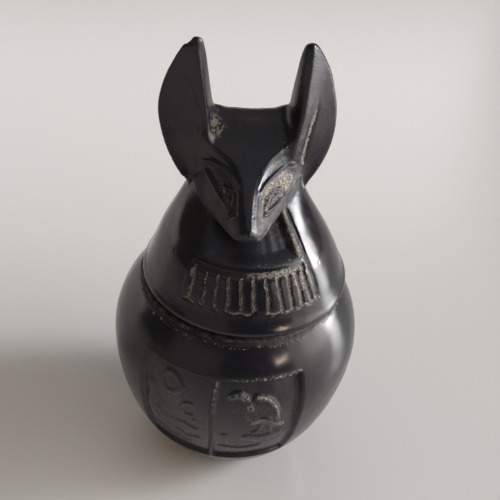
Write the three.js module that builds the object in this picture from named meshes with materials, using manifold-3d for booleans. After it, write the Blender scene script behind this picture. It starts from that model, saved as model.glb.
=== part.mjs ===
import * as THREE from 'three';
import Module from 'manifold-3d';

// Canopic jar with a jackal-headed lid, a small polished souvenir in black cast stone.
// Millimetres, +Z up, the jackal looks along -Y, the jar stands on z = 0.

// jar
const BELLY_R = 27.5;
const BELLY_Z = 33.0;
const LOWER_HALF_AXIS = 38.8;
const FOOT_R = 14.2;
const FOOT_ROUND = 0.8;
const MOUTH_Z = 48.3;
const MOUTH_R = 21.4;
const MOUTH_CHAMFER = 0.7;
const SHOULDER_DROP = 6.3;
const WALL = 4.0;
const FLOOR_THICKNESS = 5.0;
const BORE_R = 17.4;

// relief panel on the jar: two recessed cells with a bar between them
const PANEL_TURN = -10.5;
const PANEL_HALF_ANGLE = 39.5;
const PANEL_TOP_Z = 41.4;
const PANEL_BOTTOM_Z = 12.2;
const PANEL_DEPTH = 0.9;
const PANEL_BAR_SHIFT = -1.5;
const PANEL_BAR_HALF_ANGLE = 0.7;
const PANEL_EDGE_ANGLE = 1.4;
const PANEL_EDGE_Z = 0.7;

// lid
const SEAM_GAP = 0.3;
const LID_Z = MOUTH_Z + SEAM_GAP;
const LID_FOOT_R = 20.4;
const PLUG_R = 16.4;
const PLUG_DEPTH = 3.2;
const RIM_R = 21.9;
const RIM_Z = 50.2;
// the lid is cast a little out of true and sits this far to one side of the mouth
const LID_X = 0.8;

// collar of upright bars round the front of the wig
const COLLAR_HALF_ANGLE = 41;
const COLLAR_GROOVES = [-37.4, -28.0, -20.7, -13.1, -5.2, 2.3, 10.6, 18.4, 25.2, 31.6, 37.6];
const COLLAR_GROOVE_HALF_ANGLE = 1.3;
const COLLAR_GROOVE_DEPTH = 0.8;
const COLLAR_LOW_Z = 54.2;
const COLLAR_HIGH_Z = 60.2;
const COLLAR_STEP_Z = 61.4;
const COLLAR_STEP_DEPTH = 0.7;

// chest set back between the two wig lappets
const CHEST_HALF_ANGLE = 38;
const CHEST_LOW_Z = 62.6;
const CHEST_DEPTH = 1.7;
const CHEST_LEFT_SLOPE_ANGLE = 17;
const CHEST_RIGHT_SLOPE_ANGLE = 4;
const LAPPET_GROOVE_DEPTH = 1.0;
const LAPPET_GROOVE_ANGLE = 1.6;

// head
const CROWN_Y = 8.2;
const CROWN_Z = 83.4;
const NOSE_Y = -16.6;
const NOSE_Z = 70.4;
const EAR_FOOT_Z = 69.0;
const HEAD_LEAN = -2.5;
const HEAD_LEAN_Z = 60;
const HEAD_SHIFT_X = -0.6;

// edges shorter than this, left where two shapes meet, are closed up
const SMALLEST_EDGE = 0.04;

const DEG = Math.PI / 180;

const wasm = await Module();
wasm.setup();

function lerp(a, b, t) {
  return a + (b - a) * t;
}

function smooth(t) {
  const c = Math.min(1, Math.max(0, t));
  return c * c * (3 - 2 * c);
}

// value at x on a smooth curve through named [x, value] knots
function curve(knots, x) {
  const last = knots.length - 1;
  if (x <= knots[0][0]) return knots[0][1];
  if (x >= knots[last][0]) return knots[last][1];
  let i = 0;
  while (knots[i + 1][0] < x) i += 1;
  const slope = (k) => {
    const a = knots[Math.max(0, k - 1)];
    const b = knots[Math.min(last, k + 1)];
    return (b[1] - a[1]) / (b[0] - a[0]);
  };
  const h = knots[i + 1][0] - knots[i][0];
  const t = (x - knots[i][0]) / h;
  const t2 = t * t;
  const t3 = t2 * t;
  const p = (2 * t3 - 3 * t2 + 1) * knots[i][1] + (3 * t2 - 2 * t3) * knots[i + 1][1];
  return p + (t3 - 2 * t2 + t) * h * slope(i) + (t3 - t2) * h * slope(i + 1);
}

// closed solid through a stack of rings, each end closed to a point
function loft(rings, startPole, endPole) {
  const n = rings[0].length;
  const position = [];
  const index = [];
  for (const ring of rings) {
    for (const p of ring) position.push(p[0], p[1], p[2]);
  }
  for (let r = 0; r < rings.length - 1; r += 1) {
    for (let k = 0; k < n; k += 1) {
      const a = r * n + k;
      const b = r * n + (k + 1) % n;
      const c = a + n;
      const d = b + n;
      index.push(a, b, d, a, d, c);
    }
  }
  const first = position.length / 3;
  position.push(...startPole, ...endPole);
  const top = (rings.length - 1) * n;
  for (let k = 0; k < n; k += 1) {
    index.push(first, (k + 1) % n, k);
    index.push(first + 1, top + k, top + (k + 1) % n);
  }
  return solid(position, index);
}

function solid(position, index) {
  const mesh = new wasm.Mesh({
    numProp: 3,
    vertProperties: new Float32Array(position),
    triVerts: new Uint32Array(index),
  });
  mesh.merge();
  return new wasm.Manifold(mesh);
}

function toMesh(body, name, material) {
  const out = body.getMesh();
  const step = out.numProp;
  const position = [];
  for (let i = 0; i < out.vertProperties.length; i += step) {
    position.push(out.vertProperties[i], out.vertProperties[i + 1], out.vertProperties[i + 2]);
  }
  const geometry = new THREE.BufferGeometry();
  geometry.setAttribute('position', new THREE.Float32BufferAttribute(position, 3));
  geometry.setIndex(Array.from(out.triVerts));
  geometry.computeVertexNormals();
  const mesh = new THREE.Mesh(geometry, material);
  mesh.name = name;
  return mesh;
}

// angles measured round the jar from the front, positive towards +X
function direction(angle) {
  return [Math.sin(angle * DEG), -Math.cos(angle * DEG)];
}

function evenAngles(from, to, count) {
  const out = [];
  for (let i = 0; i < count; i += 1) out.push(lerp(from, to, i / count));
  return out;
}

// ---------- jar ----------

function jarRadius(z) {
  if (z < BELLY_Z) {
    const t = (BELLY_Z - z) / LOWER_HALF_AXIS;
    return BELLY_R * Math.sqrt(1 - t * t);
  }
  const t = (z - BELLY_Z) / (MOUTH_Z - BELLY_Z);
  return BELLY_R - SHOULDER_DROP * t * t * (0.9 + 0.1 * t * t);
}

// how far the surface is set back inside the relief panel
function panelDepth(angle, z) {
  const a = Math.abs(angle - PANEL_TURN);
  const side = smooth((PANEL_HALF_ANGLE - a) / PANEL_EDGE_ANGLE);
  const fromBar = Math.abs(angle - PANEL_TURN - PANEL_BAR_SHIFT);
  const bar = smooth((fromBar - PANEL_BAR_HALF_ANGLE) / PANEL_EDGE_ANGLE);
  const high = smooth((PANEL_TOP_Z - z) / PANEL_EDGE_Z);
  const low = smooth((z - PANEL_BOTTOM_Z) / PANEL_EDGE_Z);
  return PANEL_DEPTH * Math.min(side, bar, high, low);
}

function jarAngles() {
  const h = PANEL_HALF_ANGLE;
  const e = PANEL_EDGE_ANGLE;
  const b = PANEL_BAR_HALF_ANGLE;
  const m = PANEL_BAR_SHIFT;
  const left = [-h, ...evenAngles(-h + e, m - b - e, 6), m - b - e, m - b];
  const right = [m + b, ...evenAngles(m + b + e, h - e, 6), h - e, h];
  const front = [...left, ...right].map((a) => a + PANEL_TURN);
  const back = evenAngles(h + PANEL_TURN, 360 - h + PANEL_TURN, 36).slice(1);
  return [...front, ...back];
}

function buildJar() {
  const angles = jarAngles();
  const rings = [];
  const addRing = (radiusAt, z) => {
    rings.push(angles.map((a) => {
      const [x, y] = direction(a);
      const r = radiusAt(a);
      return [x * r, y * r, z];
    }));
  };
  addRing(() => FOOT_R - FOOT_ROUND, 0);
  addRing(() => FOOT_R - 0.2, FOOT_ROUND * 0.4);
  const heights = [
    2.2, 5.5, 9.0,
    PANEL_BOTTOM_Z, PANEL_BOTTOM_Z + PANEL_EDGE_Z,
    18, 22, 26, 29.5, 33, 36, 39,
    PANEL_TOP_Z - PANEL_EDGE_Z, PANEL_TOP_Z,
    43.5, 45.6, MOUTH_Z - MOUTH_CHAMFER,
  ];
  for (const z of heights) {
    addRing((a) => jarRadius(z) - panelDepth(a, z), z);
  }
  addRing(() => MOUTH_R - MOUTH_CHAMFER, MOUTH_Z);
  addRing(() => BORE_R, MOUTH_Z);
  const inside = [
    [44.2, BORE_R], [42.0, jarRadius(42.0) - WALL - 1.2], [38, jarRadius(38) - WALL],
    [33, BELLY_R - WALL], [28, jarRadius(28) - WALL], [22, jarRadius(22) - WALL],
    [16, jarRadius(16) - WALL], [11, jarRadius(11) - WALL - 0.5],
    [7.5, jarRadius(7.5) - WALL - 1.6], [FLOOR_THICKNESS + 0.6, jarRadius(6) - WALL - 3.4],
  ];
  for (const [z, r] of inside) addRing(() => r, z);
  addRing(() => 8.0, FLOOR_THICKNESS);
  return loft(rings, [0, 0, 0], [0, 0, FLOOR_THICKNESS]);
}

// ---------- lid ----------

const WIG_HALF_WIDTH = [
  [RIM_Z, RIM_R], [51.5, 21.3], [53.0, 20.6], [55.0, 19.8], [57.7, 18.6], [60.5, 17.25],
  [63.2, 15.55], [66.0, 13.7], [69.0, 11.85], [72.0, 10.5], [76.0, 9.5], [79.0, 8.3],
  [81.0, 7.2], [82.1, 6.2],
];
const WIG_HALF_DEPTH = [
  [RIM_Z, RIM_R], [51.5, 21.3], [53.0, 20.6], [55.0, 19.8], [57.7, 18.6], [60.5, 17.3],
  [63.2, 15.5], [66.0, 12.7], [69.0, 9.9], [72.0, 8.1], [76.0, 6.2], [79.0, 4.1],
  [81.0, 2.2], [82.1, 1.2],
];
const WIG_CENTRE_X = [
  [RIM_Z, 0], [54.0, -0.1], [57.0, -0.3], [61.5, -0.7], [66.0, -1.0], [76.0, -1.0], [82.1, -0.8],
];
const WIG_CENTRE_Y = [
  [RIM_Z, 0], [60.5, 0], [63.2, 0.6], [66.0, 2.0], [69.0, 3.5], [72.0, 4.3], [76.0, 5.0],
  [79.0, 5.8], [81.0, 6.7], [82.1, 7.5],
];

function wigOutline(angle, z) {
  const a = curve(WIG_HALF_WIDTH, z);
  const b = curve(WIG_HALF_DEPTH, z);
  const [x, y] = direction(angle);
  const r = 1 / Math.sqrt((x / a) ** 2 + (y / b) ** 2);
  return [x * r, y * r, r];
}

// Depth below the wig's outer face of the collar's grooves, the step over the collar,
// the chest between the lappets and the groove that edges each lappet.
function frontDepth(angle, z) {
  const a = Math.abs(angle);
  const onCollar = a < COLLAR_HALF_ANGLE && z > COLLAR_LOW_Z;
  let depth = 0;
  if (onCollar && z < COLLAR_HIGH_Z) {
    const near = Math.min(...COLLAR_GROOVES.map((g) => Math.abs(angle - g)));
    if (near < COLLAR_GROOVE_HALF_ANGLE * 0.8) depth = COLLAR_GROOVE_DEPTH;
  }
  if (onCollar && z > COLLAR_HIGH_Z && z < COLLAR_STEP_Z) depth = COLLAR_STEP_DEPTH;
  const rise = smooth((z - CHEST_LOW_Z) / 1.0);
  const slope = angle > 0 ? CHEST_RIGHT_SLOPE_ANGLE : CHEST_LEFT_SLOPE_ANGLE;
  const chest = smooth((CHEST_HALF_ANGLE - a) / slope);
  depth = Math.max(depth, rise * chest * CHEST_DEPTH);
  const edge = Math.abs(a - COLLAR_HALF_ANGLE - LAPPET_GROOVE_ANGLE) / LAPPET_GROOVE_ANGLE;
  const low = angle > 0 ? smooth((z - COLLAR_LOW_Z) / 0.8) : 0;
  return depth + low * LAPPET_GROOVE_DEPTH * smooth(1 - edge);
}

function lidAngles() {
  const end = COLLAR_HALF_ANGLE + 2 * LAPPET_GROOVE_ANGLE;
  const front = [-end, -COLLAR_HALF_ANGLE];
  for (const g of COLLAR_GROOVES) {
    for (const f of [-1, -0.6, 0.6, 1]) front.push(g + f * COLLAR_GROOVE_HALF_ANGLE);
  }
  front.push(COLLAR_HALF_ANGLE);
  front.push(end - LAPPET_GROOVE_ANGLE);
  return [...front, ...evenAngles(end, 360 - end, 30)];
}

function buildWig() {
  const angles = lidAngles();
  const rings = [];
  const addRound = (r, z) => {
    rings.push(angles.map((a) => {
      const [x, y] = direction(a);
      return [x * r, y * r, z];
    }));
  };
  addRound(PLUG_R - 0.6, LID_Z - PLUG_DEPTH);
  addRound(PLUG_R, LID_Z - PLUG_DEPTH + 0.6);
  addRound(PLUG_R, LID_Z);
  addRound(LID_FOOT_R, LID_Z);
  addRound(lerp(LID_FOOT_R, RIM_R, 0.7), LID_Z + 0.5);
  const e = 0.12;
  const heights = [
    RIM_Z, 52.0, COLLAR_LOW_Z - e, COLLAR_LOW_Z + e, 57.2, COLLAR_HIGH_Z - e, COLLAR_HIGH_Z + e,
    COLLAR_STEP_Z - e, COLLAR_STEP_Z + e, CHEST_LOW_Z, CHEST_LOW_Z + 1.0,
    66.0, 68.2, 70.5, 73.0, 76.0, 79.0, 81.0, 82.1,
  ];
  for (const z of heights) {
    const cx = curve(WIG_CENTRE_X, z);
    const cy = curve(WIG_CENTRE_Y, z);
    rings.push(angles.map((a) => {
      const [x, y, r] = wigOutline(a, z);
      const f = 1 - frontDepth(a, z) / r;
      return [x * f + cx, y * f + cy, z];
    }));
  }
  const top = heights[heights.length - 1];
  const peak = [curve(WIG_CENTRE_X, top), curve(WIG_CENTRE_Y, top), top];
  return loft(rings, [0, 0, LID_Z - PLUG_DEPTH], peak);
}

// Head sections stand square to the line from crown to nose.
// t runs from 0 at the crown's back edge to 1 at the nose.
const HEAD_LENGTH = Math.hypot(CROWN_Y - NOSE_Y, CROWN_Z - NOSE_Z);
const HEAD_DIR = [(NOSE_Y - CROWN_Y) / HEAD_LENGTH, (NOSE_Z - CROWN_Z) / HEAD_LENGTH];

const TOP_HALF = [
  [0, 8.0], [0.12, 8.1], [0.24, 8.5], [0.33, 6.7], [0.42, 4.2], [0.5, 2.8], [0.6, 1.9],
  [0.8, 1.4], [1, 1.0],
];
const CHEEK_HALF = [
  [0, 8.6], [0.15, 9.2], [0.3, 10.3], [0.45, 10.0], [0.6, 8.3], [0.75, 6.2], [0.9, 3.8], [1, 1.9],
];
const CHEEK_DROP = [
  [0, 4.0], [0.3, 7.5], [0.45, 8.0], [0.6, 7.0], [0.75, 5.5], [0.9, 3.6], [1, 2.5],
];
const JAW_HALF = [[0, 6.4], [0.3, 8.0], [0.45, 7.6], [0.6, 6.0], [0.75, 4.2], [0.9, 2.7], [1, 1.5]];
const JAW_DROP = [
  [0, 6.4], [0.3, 12.0], [0.45, 12.0], [0.6, 10.5], [0.75, 8.4], [0.9, 5.6], [1, 3.8],
];

function headRing(t, shrink) {
  const w = curve(TOP_HALF, t) * shrink;
  const c = curve(CHEEK_HALF, t) * shrink;
  const j = curve(JAW_HALF, t) * shrink;
  const lift = (1 - shrink) * 1.8;
  const dropC = lift + curve(CHEEK_DROP, t) * shrink;
  const dropJ = lift + curve(JAW_DROP, t) * shrink;
  const half = [
    [w * 0.5, lift], [w, lift + 0.3], [lerp(w, c, 0.55), lerp(lift + 0.3, dropC, 0.42)],
    [c, dropC], [lerp(c, j, 0.45), lerp(dropC, dropJ, 0.6)], [j * 0.7, dropJ],
  ];
  const outline = [
    [0, lift], ...half, [0, dropJ + 0.3], ...half.map(([x, d]) => [-x, d]).reverse(),
  ];
  const y0 = CROWN_Y + HEAD_DIR[0] * HEAD_LENGTH * t;
  const z0 = CROWN_Z + HEAD_DIR[1] * HEAD_LENGTH * t;
  return outline.map(([x, d]) => [-x, y0 - HEAD_DIR[1] * d, z0 + HEAD_DIR[0] * d]);
}

function buildHead() {
  const rings = [headRing(-0.03, 0.7)];
  const stations = [0.02, 0.12, 0.2, 0.25, 0.31, 0.38, 0.45, 0.53, 0.62, 0.73, 0.84, 0.94];
  for (const t of stations) rings.push(headRing(t, 1));
  rings.push(headRing(0.99, 0.62));
  const centre = (ring) => ring.reduce((s, p) => s.map((v, i) => v + p[i] / ring.length), [0, 0, 0]);
  const tip = centre(headRing(1.0, 0.5));
  return loft(rings, centre(rings[0]), tip);
}

// Ear sections are level. Each has a back corner near the crown, an inner side of two facets,
// a front crest, a shallow hollow in front and a bulging outer edge.
// Sizes go by height. The jackal's left ear is the shorter, and stands wider from the crown.
const EAR_BACK_Y = [[69, 3.0], [76, 5.5], [83, 7.6], [88, 7.0], [94, 5.6], [99, 4.3]];
const EAR_CREST_Y = [
  [69, 2.6], [74, 1.9], [77, 1.2], [79.3, 0.8], [82, 1.0], [85, 1.4], [90, 2.0], [95, 2.6],
  [99, 3.2],
];
const LEFT_EAR = {
  inner: [
    [69, 6.0], [74, 6.4], [80, 7.2], [83, 7.8], [88, 8.25], [92, 8.65], [96, 9.1], [99, 9.9],
  ],
  outer: [
    [69, 12.4], [72, 14.6], [75, 16.2], [77.5, 17.1], [80, 17.6], [82, 17.7], [85, 17.5],
    [88, 16.8], [92, 15.6], [95, 14.1], [97.2, 12.8], [99, 11.6],
  ],
  corner: [[69, 7.4], [77, 7.6], [80, 7.9], [85, 8.4], [92, 9.1], [96, 9.7], [99, 10.4]],
  crest: [
    [69, 8.4], [74, 8.8], [77, 8.9], [79.3, 9.0], [82, 9.4], [85, 10.0], [90, 10.5], [95, 10.9],
    [99, 11.0],
  ],
  outerY: [[69, 2.2], [76, 4.6], [84, 6.6], [92, 6.6], [99, 4.2]],
  tip: [11.0, 3.6, 98.9],
};
const RIGHT_EAR = {
  inner: [
    [69, 6.0], [74, 6.0], [80, 6.1], [84, 6.7], [88, 7.3], [92, 7.7], [96, 8.15], [99, 8.7],
  ],
  outer: [
    [69, 11.5], [72, 14.0], [76, 16.05], [80, 17.25], [84, 17.75], [87, 17.4], [91, 16.15],
    [95, 14.2], [97.2, 12.9], [99.6, 11.2],
  ],
  corner: [[69, 6.8], [77, 6.8], [80, 6.7], [84, 7.1], [88, 7.7], [92, 8.2], [96, 8.8], [99, 9.3]],
  crest: [
    [69, 8.4], [74, 8.6], [77, 8.4], [80, 8.0], [84, 7.9], [88, 8.4], [92, 9.0], [96, 9.7],
    [99, 10.2],
  ],
  outerY: [[69, 1.2], [76, 3.4], [84, 5.2], [92, 5.4], [99, 4.0]],
  tip: [10.3, 3.6, 99.8],
};

function earRing(z, side) {
  const ear = side > 0 ? LEFT_EAR : RIGHT_EAR;
  const xi = curve(ear.inner, z);
  const xo = curve(ear.outer, z);
  const xe = curve(ear.corner, z);
  const xc = curve(ear.crest, z);
  const yb = curve(EAR_BACK_Y, z);
  const yc = curve(EAR_CREST_Y, z);
  const yo = curve(ear.outerY, z);
  const width = xo - xc;
  const hollow = 0.10 * width;
  const points = [
    [xc, yc],
    [lerp(xc, xo, 0.25), lerp(yc, yo, 0.25) + hollow * 0.8],
    [lerp(xc, xo, 0.55), lerp(yc, yo, 0.55) + hollow],
    [lerp(xc, xo, 0.85), lerp(yc, yo, 0.85) + hollow * 0.2],
    [xo, yo],
    [lerp(xo, xi, 0.12), lerp(yo, yb, 0.12) + 0.10 * width + 0.3],
    [lerp(xo, xi, 0.45), lerp(yo, yb, 0.5) + 0.16 * width + 0.2],
    [lerp(xo, xi, 0.8), lerp(yo, yb, 0.85) + 0.1 * width],
    [xi, yb],
    [xe, lerp(yc, yb, 0.42)],
  ];
  const placed = points.map(([x, y]) => [side * x, y, z]);
  return side > 0 ? placed : placed.reverse();
}

function buildEar(side) {
  const heights = [69, 71.5, 74, 77, 80, 83, 85.5, 88, 90.5, 93, 95.2, 97.2, 98.2];
  const rings = heights.map((z) => earRing(z, side));
  const foot = [side * 8.0, 3.0, EAR_FOOT_Z];
  const [tipX, tipY, tipZ] = side > 0 ? LEFT_EAR.tip : RIGHT_EAR.tip;
  const tip = [side * tipX, tipY, tipZ];
  return loft(rings, foot, tip);
}

// the head is cast slightly off the middle and leans to its right
function leaned(body) {
  return body
    .translate([0, 0, -HEAD_LEAN_Z])
    .rotate([0, HEAD_LEAN, 0])
    .translate([HEAD_SHIFT_X, 0, HEAD_LEAN_Z]);
}

function buildLid() {
  const head = leaned(buildHead().add(buildEar(1)).add(buildEar(-1)));
  const cast = buildWig().add(head);
  const outside = cast.decompose().filter((b) => b.volume() > 0);
  const lid = outside.reduce((a, b) => a.add(b)).simplify(SMALLEST_EDGE);
  return lid.translate([LID_X, 0, 0]);
}

// ---------- part ----------

const blackStone = () => new THREE.MeshStandardMaterial({
  color: new THREE.Color(0.018, 0.017, 0.018),
  roughness: 0.22,
  metalness: 0,
});

const part = new THREE.Group();
part.name = 'canopic_jar';
part.add(toMesh(buildJar(), 'jar', blackStone()));
part.add(toMesh(buildLid(), 'lid', blackStone()));

export default part;
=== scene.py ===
import math

import bpy
import numpy as np
from mathutils import Matrix, Vector
from numpy.linalg import norm


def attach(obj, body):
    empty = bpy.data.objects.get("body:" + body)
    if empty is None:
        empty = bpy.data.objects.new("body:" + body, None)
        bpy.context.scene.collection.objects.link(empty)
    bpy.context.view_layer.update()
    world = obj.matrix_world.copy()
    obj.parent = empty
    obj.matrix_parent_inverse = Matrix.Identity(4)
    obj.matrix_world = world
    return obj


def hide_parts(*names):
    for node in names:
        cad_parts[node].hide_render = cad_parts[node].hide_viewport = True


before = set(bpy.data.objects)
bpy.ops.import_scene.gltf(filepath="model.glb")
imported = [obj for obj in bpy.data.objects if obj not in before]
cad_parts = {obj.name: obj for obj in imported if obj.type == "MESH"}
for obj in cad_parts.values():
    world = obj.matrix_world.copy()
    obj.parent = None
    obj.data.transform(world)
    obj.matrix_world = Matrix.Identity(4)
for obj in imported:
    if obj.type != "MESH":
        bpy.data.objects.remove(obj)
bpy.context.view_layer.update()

MM = 0.001

# Canopic jar with a jackal-headed lid, a small polished souvenir in black cast stone.
# Shapes are worked out in millimetres, +Z up, the jackal looks along -Y, and are scaled to metres at the end.

# ---- sizes shared with the CAD ----

# jar
BELLY_R = 27.5
BELLY_Z = 33.0
LOWER_HALF_AXIS = 38.8
FOOT_R = 14.2
FOOT_ROUND = 0.8
MOUTH_Z = 48.3
MOUTH_R = 21.4
SHOULDER_DROP = 6.3
WALL = 4.0
FLOOR_THICKNESS = 5.0
BORE_R = 17.4

# relief panel on the jar
PANEL_TURN = -10.5
PANEL_HALF_ANGLE = 39.5
PANEL_TOP_Z = 41.4
PANEL_BOTTOM_Z = 12.2
PANEL_DEPTH = 0.9
PANEL_BAR_SHIFT = -1.5
PANEL_BAR_HALF_ANGLE = 0.7

# lid
LID_Z = 48.6
LID_X = 0.8
LID_FOOT_R = 20.4
PLUG_R = 16.4
PLUG_DEPTH = 3.2
RIM_R = 21.9
RIM_Z = 50.2
WIG_TOP_Z = 81.3

# collar of upright bars, chest and lappet grooves: angles in degrees from the front, to either side
COLLAR_HALF_ANGLE = 41
COLLAR_LOW_Z = 54.2
COLLAR_HIGH_Z = 60.2
COLLAR_STEP_Z = 61.4
COLLAR_GROOVE_DEPTH = 0.4
STEP_DEPTH = 0.55
CHEST_LOW_Z = 62.6
CHEST_HALF_ANGLE = 38
CHEST_DEPTH = 1.7
LAPPET_ANGLE = 43.4
LAPPET_HALF_ANGLE = 2.5
LEFT_LAPPET_DEPTH = 0.32
RIGHT_LAPPET_DEPTH = 0.06

# head
CROWN_Y, CROWN_Z = 8.2, 83.4
NOSE_Y, NOSE_Z = -16.6, 70.4
HEAD_LENGTH = math.hypot(CROWN_Y - NOSE_Y, CROWN_Z - NOSE_Z)
DIR_Y = (NOSE_Y - CROWN_Y) / HEAD_LENGTH
DIR_Z = (NOSE_Z - CROWN_Z) / HEAD_LENGTH
HEAD_LEAN = math.radians(-2.5)
HEAD_LEAN_Z = 60.0
HEAD_SHIFT_X = -0.6
EAR_FOOT_Z = 64.0


# ---- curves, masks and noise ----

def smooth(t):
    """A soft step from 0 at 0 to 1 at 1."""
    c = np.clip(t, 0.0, 1.0)
    return c * c * (3 - 2 * c)


def above(value, edge, soft):
    """A mask: 0 up to edge, 1 from soft beyond it."""
    return smooth((value - edge) / soft)


def below(value, edge, soft):
    """A mask: 1 until soft short of edge, 0 from edge on."""
    return smooth((edge - value) / soft)


def between(value, low, high, soft):
    return above(value, low, soft) * below(value, high, soft)


def around(value, middle, half):
    """A mask: 1 at middle, 0 from half away."""
    return smooth(1 - np.abs(value - middle) / half)


def lerp(a, b, t):
    return a + (b - a) * t


def curve(knots, soften=0.0):
    """A smooth function through (x, value) knots. soften evens out its bends over that width."""
    xs, ys = np.array(knots, float).T
    last = len(xs) - 1
    lo = np.maximum(np.arange(last + 1) - 1, 0)
    hi = np.minimum(np.arange(last + 1) + 1, last)
    slope = (ys[hi] - ys[lo]) / (xs[hi] - xs[lo])
    fine = np.linspace(xs[0], xs[-1], 801)
    i = np.clip(np.searchsorted(xs, fine, side="right") - 1, 0, last - 1)
    h = xs[i + 1] - xs[i]
    t = (fine - xs[i]) / h
    value = (2 * t**3 - 3 * t**2 + 1) * ys[i] + (3 * t**2 - 2 * t**3) * ys[i + 1]
    value += (t**3 - 2 * t**2 + t) * h * slope[i] + (t**3 - t**2) * h * slope[i + 1]
    if soften:
        reach = max(1, int(round(soften / (fine[1] - fine[0]))))
        weight = np.hanning(2 * reach + 3)[1:-1]
        value = np.pad(value, reach, "reflect", reflect_type="odd")
        value = np.convolve(value, weight / weight.sum(), "valid")
    return lambda x: np.interp(x, fine, value)


def smax(a, b, k):
    """The larger of two distances: an outer edge, rounded."""
    h = np.maximum(k - np.abs(a - b), 0) / k
    return np.maximum(a, b) + h * h * k / 4


def smin(a, b, k):
    """The smaller of two distances: an inner corner, filled."""
    return -smax(-a, -b, k)


CORNERS = list(np.ndindex(2, 2, 2))


def noise(p, size, seed):
    """Smooth value noise from -1 to 1 at points p, with lumps of the given size."""
    q = p / size + seed * 17.31
    cell = np.floor(q).astype(np.int64)
    f = q - cell
    f = f * f * (3 - 2 * f)
    total = np.zeros(len(p))
    for corner in CORNERS:
        # a hash of the corner, mixed with large primes, gives its value
        cx, cy, cz = (cell + corner).T
        n = cx * 73856093 ^ cy * 19349663 ^ cz * 83492791
        n = (n * 2654435761 + seed * 97531) & 0xFFFFFFFF
        n = ((n >> 15) ^ n) * 2246822519 & 0xFFFFFFFF
        weight = np.where(corner, f, 1 - f).prod(1)
        total += (((n >> 8) & 0xFFFF) / 32767.5 - 1) * weight
    return total


def rough_noise(p, size, seed):
    """Three sizes of noise together."""
    return noise(p, size, seed) * 0.55 + noise(p, size * 0.5, seed + 1) * 0.3 + noise(p, size * 0.27, seed + 2) * 0.2


# ---- lid: the shape as a signed distance, below zero inside ----

# the wig: height, half its width and half its depth
WIG = [
    (50.4, 21.9, 21.9), (51.5, 21.3, 21.3), (53.0, 20.6, 20.6), (55.0, 19.8, 19.8), (57.7, 18.6, 18.6),
    (60.5, 17.25, 17.3), (63.2, 15.55, 15.5), (66.0, 13.7, 12.7), (69.0, 11.85, 9.9), (72.0, 10.5, 8.1),
    (76.0, 9.5, 6.2), (79.0, 8.3, 4.1), (81.0, 7.2, 2.2), (82.4, 6.0, 1.1),
]
HALF_WIDTH = curve([(z, width) for z, width, _ in WIG], soften=1.6)
HALF_DEPTH = curve([(z, depth) for z, _, depth in WIG], soften=1.6)
# its middle by height
CENTRE_X = curve([
    (50.4, 0), (54.0, -0.1), (57.0, -0.3), (61.5, -0.7), (66.0, -1.0), (76.0, -1.0), (82.4, -0.8),
], soften=2.0)
CENTRE_Y = curve([
    (RIM_Z, 0), (60.5, 0), (63.2, 0.6), (66.0, 2.0), (69.0, 3.5), (72.0, 4.3), (76.0, 5.0),
    (79.0, 5.8), (81.0, 6.7), (82.4, 7.5),
], soften=1.6)

# the collar's grooves: angle round the lid and half width, in degrees
GROOVES = [
    (-37.4, 1.0), (-28.0, 0.6), (-20.7, 0.65), (-13.1, 0.7), (-5.2, 0.7), (2.3, 0.9),
    (10.6, 0.8), (18.4, 0.9), (25.2, 1.0), (31.6, 1.2), (37.6, 1.0),
]
# what is carved into the front ends here
FRONT_HALF_ANGLE = 50


def groove_pattern(angle, z):
    """1 in a groove of the collar, 0 on a bar. The edges wander."""
    found = np.zeros(np.broadcast(angle, z).shape)
    for k, (centre, half) in enumerate(GROOVES):
        wander = 0.3 * np.sin(z * 0.9 + k * 2.1) + 0.14 * np.sin(z * 3.1 + k * 1.3)
        edge = half + 0.16 * np.sin(z * 2.3 + k * 3.7) + 0.10 * np.sin(z * 7.0 + k)
        from_middle = np.abs(angle - centre - wander)
        found = np.maximum(found, below(from_middle, edge + 0.5, 0.9))
    low = COLLAR_LOW_Z + 0.25 * np.sin(angle * 0.9)
    return found * between(z, low, COLLAR_HIGH_Z + 0.6, 0.5)


def front_depth(angle, z):
    """How far the front of the lid is set back below the wig's outer face."""
    a = np.abs(angle)
    inside = below(a, COLLAR_HALF_ANGLE - 0.5, 1.2)
    groove = COLLAR_GROOVE_DEPTH * groove_pattern(angle, z) * inside
    step = STEP_DEPTH * between(z, COLLAR_HIGH_Z, COLLAR_STEP_Z + 0.3, 0.5) * inside
    side_slope = np.where(angle > 0, 4, 17)
    chest = CHEST_DEPTH * below(a, CHEST_HALF_ANGLE, side_slope) * above(z, CHEST_LOW_Z - 0.2, 1.0)
    middle = LAPPET_ANGLE + 0.4 * np.sin(z * 0.9) + 0.15 * np.sin(z * 2.7)
    lappet = below(np.abs(a - middle), LAPPET_HALF_ANGLE, LAPPET_HALF_ANGLE) * above(z, COLLAR_LOW_Z - 0.4, 1.2)
    lappet = lappet * np.where(angle > 0, LEFT_LAPPET_DEPTH, RIGHT_LAPPET_DEPTH)
    return np.maximum(np.maximum(groove, step), chest) + lappet


def wig(x, y, z):
    """The rim, collar, lappets and dome."""
    a, b = HALF_WIDTH(z), HALF_DEPTH(z)
    lean = (HALF_WIDTH(z + 0.2) - HALF_WIDTH(z - 0.2)) / 0.4
    x = x - CENTRE_X(z)
    yy = y - CENTRE_Y(z)
    r = np.hypot(x, yy) + 1e-6
    outline = 1 / np.sqrt((x / r / a) ** 2 + (yy / r / b) ** 2)
    angle = np.degrees(np.arctan2(x, -yy))
    side = (r - outline) / np.sqrt(1 + lean * lean)
    side = side + np.where(np.abs(angle) < FRONT_HALF_ANGLE, front_depth(angle, z), 0.0)
    return smax(side, z - WIG_TOP_Z, 1.0)


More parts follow.
